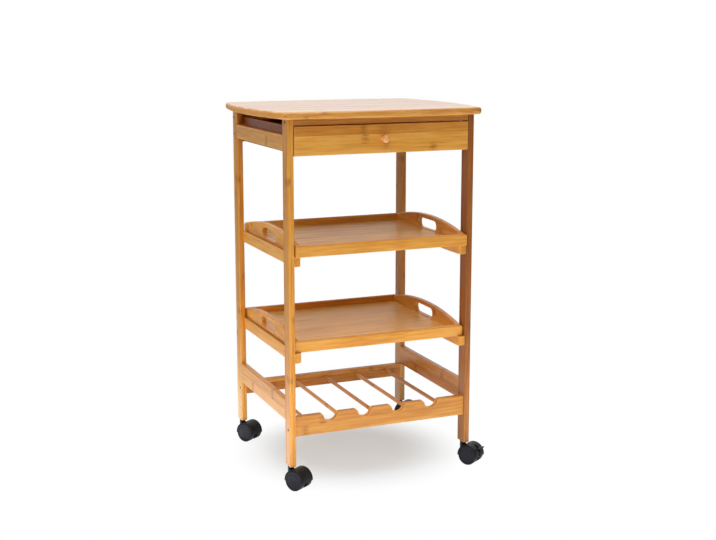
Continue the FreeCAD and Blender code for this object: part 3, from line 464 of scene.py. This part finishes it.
corners = [f"castor_{end}_{side}" for end in ("front", "back") for side in ("left", "right")]
wheels = [f"{corner}_wheel_{hand}" for corner in corners for hand in ("near", "far")]
levers = [f"{corner}_brake" for corner in corners if corner.endswith("right")]
finish_with([f"{corner}_hood" for corner in corners], nylon("hood_nylon", srgb(9, 9, 11), rough=0.38))
finish_with(wheels, nylon("wheel_nylon", srgb(36, 36, 44), rough=0.44))
finish_with(levers, nylon("lever_nylon", srgb(12, 12, 14), rough=0.38))
finish_with(["castor_stems", *[f"{corner}_axle" for corner in corners]], black_steel)


# Studio: a white floor that runs out of sight, a large soft light overhead and a soft key from front left.
# Sheets of light on the floor stand for the bright floor before and beside the cart.
# The white room is behind the cart, and the side towards the camera is dimmer in reflections.
floor_mesh = bmesh.new()
bmesh.ops.create_circle(floor_mesh, cap_ends=True, segments=96, radius=14.0)
floor_data = bpy.data.meshes.new("floor")
floor_mesh.to_mesh(floor_data)
floor_mesh.free()
floor = bpy.data.objects.new("floor", floor_data)
bpy.context.scene.collection.objects.link(floor)
floor_paint, floor_shader, floor_tree = new_material("floor_paint")
floor_shader.inputs["Base Color"].default_value = (0.72, 0.82, 0.93, 1.0)
floor_shader.inputs["Roughness"].default_value = 0.8
floor_shader.inputs["Specular IOR Level"].default_value = 0.1
floor_data.materials.append(floor_paint)


def seen_rays(tree):
    """1 for the rays of the camera, of reflections and of clear materials, which see the background."""
    rays = tree.new("LightPath", output="Is Camera Ray")
    straight_or_mirrored = rays.math("MAXIMUM", rays.other("Is Glossy Ray"))
    return straight_or_mirrored.math("MAXIMUM", rays.other("Is Transmission Ray"))


spot = floor_tree.new("TexCoord", output="Object")
reach = floor_tree.new("VectorMath", {"operation": "LENGTH"}, {0: spot}, output="Value")
distant = floor_tree.new("LightPath", output="Is Glossy Ray") * (1 - reach.fade(0.35, 1.3))
white = floor_tree.new("Emission", None, {"Color": (1.0, 1.0, 1.0, 1.0), "Strength": 1.0})
# Painted shadow, partly: under the cart less white shows, so a disc of the greyer lit paint comes through,
# with the cart's real shadow on it.
under_cart = reach.fade(0.10, 0.27)
cover = (seen_rays(floor_tree) - 0.90 * distant) * (1 - 0.55 * under_cart)
paint = Socket(floor_tree.tree, floor_shader.outputs[0])
mixed = floor_tree.new("MixShader", None, {0: cover, 1: paint, 2: white})
mixed.into(floor_tree.tree.nodes["Material Output"], "Surface")

for name, place, aim, wide, deep, power, mirrored in (
    ("top_light", (-0.3, -0.6, 2.6), (0.0, 0.0, 0.4), 2.0, 2.0, 40.0, True),
    ("key_light", (-1.4, -2.3, 2.2), (0.0, 0.0, 0.35), 1.4, 1.4, 19.5, True),
    ("side_light", (-2.2, 0.6, 1.3), (0.0, 0.1, 0.6), 1.2, 1.2, 9.0, False),
    ("front_sheet", (0.2, -0.55, 0.004), (0.2, -0.55, 1.0), 1.4, 0.6, 6.2, False),
    ("left_sheet", (-0.52, 0.12, 0.004), (-0.52, 0.12, 1.0), 0.5, 1.3, 3.4, False),
    ("foot_sheet", (-0.28, 0.18, 0.006), (-0.28, 0.18, 1.0), 0.14, 0.7, 0.28, True),
):
    lamp = bpy.data.lights.new(name, "AREA")
    lamp.shape = "RECTANGLE"
    lamp.size = wide
    lamp.size_y = deep
    lamp.energy = power
    light = bpy.data.objects.new(name, lamp)
    light.location = place
    light.rotation_euler = (Vector(aim) - Vector(place)).to_track_quat("-Z", "Y").to_euler()
    light.visible_camera = False
    light.visible_glossy = mirrored
    bpy.context.scene.collection.objects.link(light)

world = bpy.data.worlds.new("studio")
bpy.context.scene.world = world
world.use_nodes = True
sky = Socket(world.node_tree)
direction = sky.new("TexCoord", output="Generated")
camera_side = sky.new("SeparateXYZ", None, {"Vector": direction}, output="Y").fade(-0.3, 0.4)
glossy = sky.new("LightPath", output="Is Glossy Ray")
strength = 0.06 + 0.94 * seen_rays(sky) - 0.55 * glossy * camera_side
backdrop = world.node_tree.nodes["Background"]
strength.into(backdrop, "Strength")
backdrop.inputs["Color"].default_value = (1.0, 1.0, 1.0, 1.0)

camera_data = bpy.data.cameras.new("camera")
camera_data.sensor_width = 36.0
camera_data.lens = 60.94
camera_data.shift_y = -0.0349
camera_data.clip_end = 60.0
camera = bpy.data.objects.new("camera", camera_data)
camera.location = (-0.9644, -2.3455, 0.8977)
tilt_down_deg = 9.944
turn_right_deg = 22.754
camera.rotation_euler = (math.radians(90 - tilt_down_deg), 0.0, math.radians(-turn_right_deg))
bpy.context.scene.collection.objects.link(camera)
bpy.context.scene.camera = camera
bpy.context.scene.view_settings.view_transform = "Standard"
